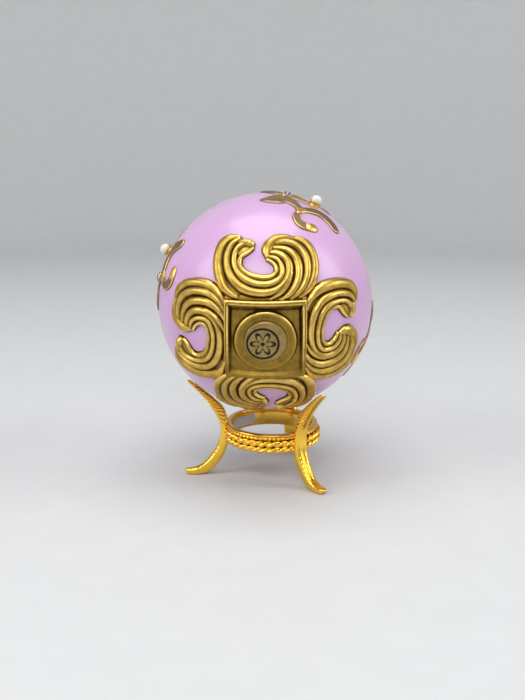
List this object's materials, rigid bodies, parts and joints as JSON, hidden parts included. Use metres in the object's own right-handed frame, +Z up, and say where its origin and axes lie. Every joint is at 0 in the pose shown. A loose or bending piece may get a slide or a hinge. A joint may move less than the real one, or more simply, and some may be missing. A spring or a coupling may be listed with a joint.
{
  "type": "decorated porcelain egg on a ring stand",
  "caption": "Glazed lilac porcelain egg with gilt scroll relief, pearls and blue stones, lying on its side on a gold three-legged ring stand.",
  "frame": {"origin": "on the table, under the middle of the whole object's box", "axes": "+Z up; +X to the right as seen from the front; -Y is the front, towards which the egg's blunt end with the medallion points, 9.26 degrees below level"},
  "size_m": [0.0658, 0.0854, 0.0874],
  "materials": {
    "lilac_glaze": "glossy clear glaze over lilac porcelain",
    "plug_glaze": "glazed porcelain disc with a gilt printed rosette",
    "relief_gilt": "satin antique gold over moulded relief, darker in the grooves",
    "cup_gilt": "gold-plated, polished",
    "pearl": "imitation pearl, soft lustre",
    "blue_glass": "faceted blue glass with a foiled back",
    "stand_gold": "bright gold-plated casting, polished",
    "sticker_paper": "plain matt paper, blank"
  },
  "bodies": {
    "stand": {"stand_ring": "stand_gold", "bead_wire": "stand_gold", "upper_rope": "stand_gold", "lower_rope": "stand_gold", "leg_1": "stand_gold", "leg_2": "stand_gold", "leg_3": "stand_gold", "label_sticker": "sticker_paper"},
    "egg": {"egg_shell": "lilac_glaze", "centre_plug": "plug_glaze", "base_frame": "relief_gilt", "crest_1": "relief_gilt", "crest_2": "relief_gilt", "crest_3": "relief_gilt", "crest_4": "relief_gilt", "scroll_sprig_1": "relief_gilt", "scroll_sprig_2": "relief_gilt", "scroll_sprig_3": "relief_gilt", "scroll_sprig_4": "relief_gilt", "pearl_cup_1": "cup_gilt", "pearl_cup_2": "cup_gilt", "pearl_cup_3": "cup_gilt", "pearl_cup_4": "cup_gilt", "pearl_1": "pearl", "pearl_2": "pearl", "pearl_3": "pearl", "pearl_4": "pearl", "stone_bezel_1": "cup_gilt", "stone_bezel_2": "cup_gilt", "stone_bezel_3": "cup_gilt", "stone_bezel_4": "cup_gilt", "blue_stone_1": "blue_glass", "blue_stone_2": "blue_glass", "blue_stone_3": "blue_glass", "blue_stone_4": "blue_glass"}
  },
  "joints": [
    {"name": "egg_lift", "type": "slide", "parent": "stand", "child": "egg", "axis": [0, 0, 1], "range_m": [0, 0.04]}
  ]
}
